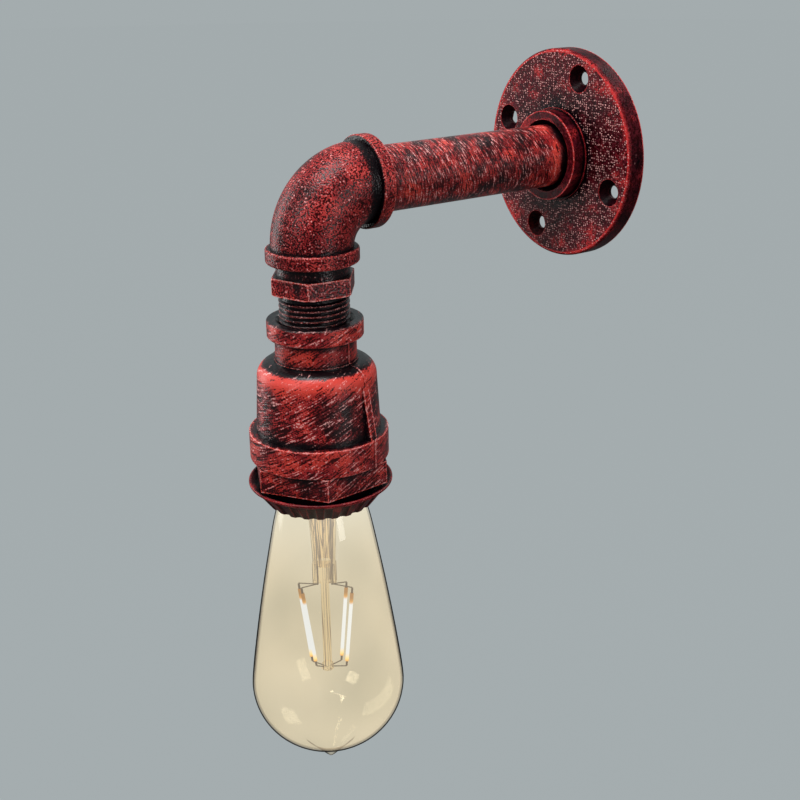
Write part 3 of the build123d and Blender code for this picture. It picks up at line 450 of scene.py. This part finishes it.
# Blown glass with a faint amber tint: clear in the middle, with one thin dark brown outline.
dress(lamp_glass("amber_blown_glass", "F6F3EA", "160C04", rim_from=0.77, glow="FFEBD0",
                 strength=0.113, haze=0.2, inner=0.3),
      "bulb_glass")
# Glass tube and rod, drawn and pinched: clear, with brown lines along it.
dress(lamp_glass("clear_stem_glass", "FDF6E8", "4A2404", rim_from=0.85, glow="FFE9C4",
                 strength=0.04, lines=0.95),
      "stem_glass")

# Phosphor cast over a row of diodes: white where lit, yellow at its foot, amber at its unlit top.
LIT_TO, UNLIT_FROM = 0.84, 0.9                  # shares of its length
LIT_STRENGTH, UNLIT_STRENGTH = 1.1, 0.8
filament_light, tree, output = blank("lit_phosphor_filament")
place = add(tree, "TexCoord").outputs["Object"]
spot = add(tree, "SeparateXYZ", {"Vector": place}).outputs["Z"]
along = add(tree, "MapRange", {"Value": spot, "From Min": FILAMENT_FOOT,
                               "From Max": FILAMENT_TOP}).outputs[0]
tone = add(tree, "ValToRGB", {"Fac": along},
           stops=((0.0, "E8A030"), (0.04, "FFE090"), (0.12, "DFE9F8"), (LIT_TO, "DFE9F8"),
                  (0.88, "E8AC58"), (0.94, "B07A30"))).outputs["Color"]
bright = add(tree, "MapRange", {"Value": along, "From Min": UNLIT_FROM, "From Max": LIT_TO,
                                "To Min": UNLIT_STRENGTH, "To Max": LIT_STRENGTH}).outputs[0]
lit = add(tree, "Emission", {"Color": tone, "Strength": bright})
tree.links.new(lit.outputs[0], output.inputs[0])
dress(filament_light, "led_filament_1", "led_filament_2", "led_filament_3", "led_filament_4")


# ---------------------------------------------------------------- floor, light and camera
STUDIO_GREY = "A4ACAE"                          # what the camera sees behind the light
FLOOR_RADIUS, FLOOR_HEIGHT = 9.0, -0.55
FLOOR_GLOW, FLOOR_SEEN = 0.3, 0.985             # as a light on the object, and to the camera
VIEWER_SIDE = 0.766, -0.533, 0.1                # towards the photograph's side of the room
ROOM_BRIGHT, ROOM_DIM = 1.0, 0.12
BRIGHT_TO, DIM_FROM = -0.2, 0.7                 # cosine of the angle from the viewer's side
LIGHTS_AIM = 0, -0.1, -0.08                     # about the middle of the object

floor_mesh = bpy.data.meshes.new("studio_floor")
shape = bmesh.new()
bmesh.ops.create_circle(shape, cap_ends=True, segments=96, radius=FLOOR_RADIUS,
                        matrix=Matrix.Translation((0, 0, FLOOR_HEIGHT)))
shape.to_mesh(floor_mesh)
shape.free()
floor = bpy.data.objects.new("studio_floor", floor_mesh)
scene.collection.objects.link(floor)
# Matt wall paint, rolled: pale and even, so that it shows no horizon.
floor_paint, tree, output = blank("pale_studio_paint")
matt = add(tree, "BsdfDiffuse", {"Color": linear("141516")})
seen = add(tree, "LightPath").outputs["Is Camera Ray"]
strength = add(tree, "MapRange", {"Value": seen, "To Min": FLOOR_GLOW,
                                  "To Max": FLOOR_SEEN}).outputs[0]
even = add(tree, "Emission", {"Color": linear(STUDIO_GREY), "Strength": strength})
both = add(tree, "AddShader", {0: matt.outputs[0], 1: even.outputs[0]})
tree.links.new(both.outputs[0], output.inputs[0])
floor_mesh.materials.append(floor_paint)

# the studio: a bright room beyond the object, a dim one on the photograph's side
world = bpy.data.worlds.new("studio_air")
scene.world = world
world.use_nodes = True
tree = world.node_tree
tree.nodes.clear()
towards = add(tree, "TexCoord").outputs["Generated"]
facing = add(tree, "VectorMath", {0: towards, 1: VIEWER_SIDE},
             operation="DOT_PRODUCT").outputs["Value"]
room = add(tree, "MapRange", {"Value": facing, "From Min": BRIGHT_TO, "From Max": DIM_FROM,
                              "To Min": ROOM_BRIGHT, "To Max": ROOM_DIM}).outputs[0]
seen = add(tree, "LightPath").outputs["Is Camera Ray"]
strength = add(tree, "Mix", {0: seen, 2: room, 3: 1.0}, data_type="FLOAT").outputs[0]
air = add(tree, "Background", {"Color": linear(STUDIO_GREY), "Strength": strength})
sky = add(tree, "OutputWorld")
tree.links.new(air.outputs[0], sky.inputs[0])


def softbox(name, place, width, height, power):
    """A rectangular area light at place that faces the object, in metres and watts."""
    data = bpy.data.lights.new(name, "AREA")
    data.shape = "RECTANGLE"
    data.size = width
    data.size_y = height
    data.energy = power
    lamp = bpy.data.objects.new(name, data)
    lamp.location = place
    way = Vector(LIGHTS_AIM) - Vector(place)
    lamp.rotation_euler = way.to_track_quat("-Z", "Y").to_euler()
    scene.collection.objects.link(lamp)


softbox("top_softbox", (0.1, -0.35, 0.95), width=0.5, height=0.5, power=13)
softbox("front_softbox", (0.2, -1.15, 0.5), width=0.4, height=0.4, power=6)
softbox("right_softbox", (1.1, 0.1, 0.15), width=0.3, height=0.8, power=5)
softbox("left_softbox", (-0.9, -0.6, 0.1), width=0.4, height=1.0, power=6)
softbox("back_softbox", (-0.2, 1.2, 0.6), width=0.6, height=0.6, power=8)

# the camera, as solved from the photograph's outlines
PICTURE_PX, FOCAL_PX = 800, 1230.27             # the picture's width and the focal length in pixels
CAMERA_PLACE = 0.4107937, -0.3799170, 0.0947295
azimuth, elevation, roll = radians(55.21), radians(21.01), radians(-0.69)
camera_data = bpy.data.cameras.new("photo_camera")
camera = bpy.data.objects.new("photo_camera", camera_data)
scene.collection.objects.link(camera)
scene.camera = camera
camera_data.sensor_width = 36.0                 # mm
camera_data.lens = camera_data.sensor_width * FOCAL_PX / PICTURE_PX
back = Vector((sin(azimuth) * cos(elevation), -cos(azimuth) * cos(elevation), sin(elevation)))
right = Vector((cos(azimuth), sin(azimuth), 0))
up = back.cross(right)
level_right = right * cos(roll) + up * sin(roll)
level_up = up * cos(roll) - right * sin(roll)
turned = Matrix((level_right, level_up, back)).transposed().to_4x4()
camera.matrix_world = Matrix.Translation(CAMERA_PLACE) @ turned
camera_data.clip_start = 0.01
camera_data.clip_end = 50.0

scene.view_settings.view_transform = "Standard"

bpy.context.view_layer.update()
